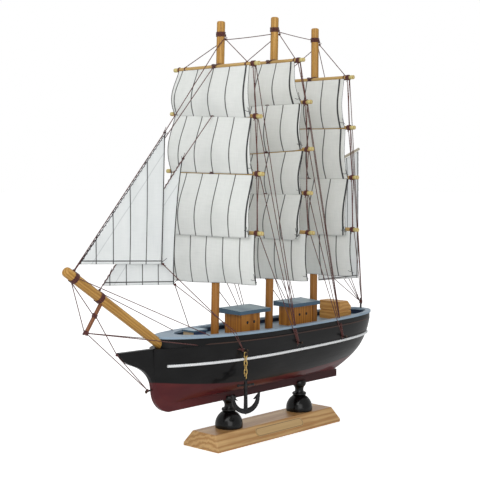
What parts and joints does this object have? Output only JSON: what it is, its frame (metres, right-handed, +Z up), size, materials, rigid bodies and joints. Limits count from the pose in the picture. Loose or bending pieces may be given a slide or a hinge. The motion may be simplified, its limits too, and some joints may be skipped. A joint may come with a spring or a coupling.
{
  "type": "model sailing ship",
  "caption": "Carved square-rigged model sailing ship with cloth sails, thread rigging and a hanging anchor, on a turned display stand.",
  "frame": {"origin": "centre of the stand's underside", "axes": "+X toward the bow, +Y to port, +Z up the masts"},
  "size_m": [0.3157, 0.0992, 0.3191],
  "materials": {
    "stand_pine": "clear-varnished pine",
    "label_film": "clear film, blank",
    "black_gloss_paint": "gloss black paint on turned wood",
    "steel": "dull steel",
    "hull_paint": "satin black paint, dark red below the waterline",
    "keel_paint": "satin dark red paint",
    "rail_paint": "satin blue-grey paint",
    "deck_paint": "satin blue-grey paint",
    "wale_cord": "white twisted cord",
    "pale_wood": "pale wood",
    "cabin_wood": "orange-brown stained wood",
    "roof_paint": "satin slate-blue paint",
    "black_pin": "black",
    "spar_wood": "golden-tan stained dowel",
    "sail_cloth": "off-white woven cotton, stiffened",
    "thread": "dark red-brown thread",
    "brass": "bright",
    "black_iron": "satin black"
  },
  "bodies": {
    "ship": {"aft_cabin": "cabin_wood", "aft_cabin_roof": "roof_paint", "backstays": "thread", "bowsprit": "spar_wood", "bowsprit_rigging": "thread", "bulwark": "hull_paint", "cap_rail": "rail_paint", "deck": "deck_paint", "dolphin_striker": "spar_wood", "fore_cabin": "cabin_wood", "fore_cabin_roof": "roof_paint", "fore_course": "sail_cloth", "fore_hatch": "pale_wood", "fore_hatch_lid": "deck_paint", "fore_mast": "spar_wood", "fore_royal": "sail_cloth", "fore_topgallant": "sail_cloth", "fore_topsail": "sail_cloth", "fore_yards": "spar_wood", "front_pillar": "black_gloss_paint", "gaff": "spar_wood", "hull": "hull_paint", "inner_jib": "sail_cloth", "jib_sheets": "thread", "keel": "keel_paint", "main_course": "sail_cloth", "main_mast": "spar_wood", "main_royal": "sail_cloth", "main_skysail": "sail_cloth", "main_topgallant": "sail_cloth", "main_topsail": "sail_cloth", "main_yards": "spar_wood", "mast_stays": "thread", "mizzen_course": "sail_cloth", "mizzen_mast": "spar_wood", "mizzen_royal": "sail_cloth", "mizzen_topgallant": "sail_cloth", "mizzen_topsail": "sail_cloth", "mizzen_yards": "spar_wood", "name_label": "label_film", "outer_jib": "sail_cloth", "rail_moulding": "hull_paint", "rear_pillar": "black_gloss_paint", "rigging_nails": "steel", "spanker": "sail_cloth", "stand_base": "stand_pine", "stand_screws": "steel", "stem": "hull_paint", "stern_house": "cabin_wood", "stern_post": "black_pin", "wale_rope": "wale_cord", "yard_lashings": "thread", "yard_lifts": "thread"},
    "link_1": {"chain_link_1": "brass"},
    "link_2": {"chain_link_2": "brass"},
    "link_3": {"chain_link_3": "brass"},
    "link_4": {"chain_link_4": "brass"},
    "link_5": {"chain_link_5": "brass"},
    "link_6": {"chain_link_6": "brass"},
    "anchor": {"anchor": "black_iron"}
  },
  "joints": [
    {"name": "link_1_swing", "type": "hinge", "parent": "ship", "child": "link_1", "pos_m": [0.0501, 0.02633, 0.071], "axis": [0.342, 0.9397, 0], "range_deg": [-12, 30]},
    {"name": "link_2_lift", "type": "hinge", "parent": "link_1", "child": "link_2", "pos_m": [0.0501, 0.02633, 0.06807], "axis": [0.9397, -0.342, 0], "range_deg": [-3, 30]},
    {"name": "link_3_swing", "type": "hinge", "parent": "link_2", "child": "link_3", "pos_m": [0.0501, 0.02633, 0.06499], "axis": [0.342, 0.9397, 0], "range_deg": [-12, 30]},
    {"name": "link_4_lift", "type": "hinge", "parent": "link_3", "child": "link_4", "pos_m": [0.0501, 0.02633, 0.06191], "axis": [0.9397, -0.342, 0], "range_deg": [-3, 30]},
    {"name": "link_5_swing", "type": "hinge", "parent": "link_4", "child": "link_5", "pos_m": [0.0501, 0.02633, 0.05883], "axis": [0.342, 0.9397, 0], "range_deg": [-12, 30]},
    {"name": "link_6_lift", "type": "hinge", "parent": "link_5", "child": "link_6", "pos_m": [0.0501, 0.02633, 0.05575], "axis": [0.9397, -0.342, 0], "range_deg": [-3, 30]},
    {"name": "anchor_swing", "type": "hinge", "parent": "link_6", "child": "anchor", "pos_m": [0.0501, 0.02633, 0.05267], "axis": [0.342, 0.9397, 0], "range_deg": [-12, 30]}
  ]
}
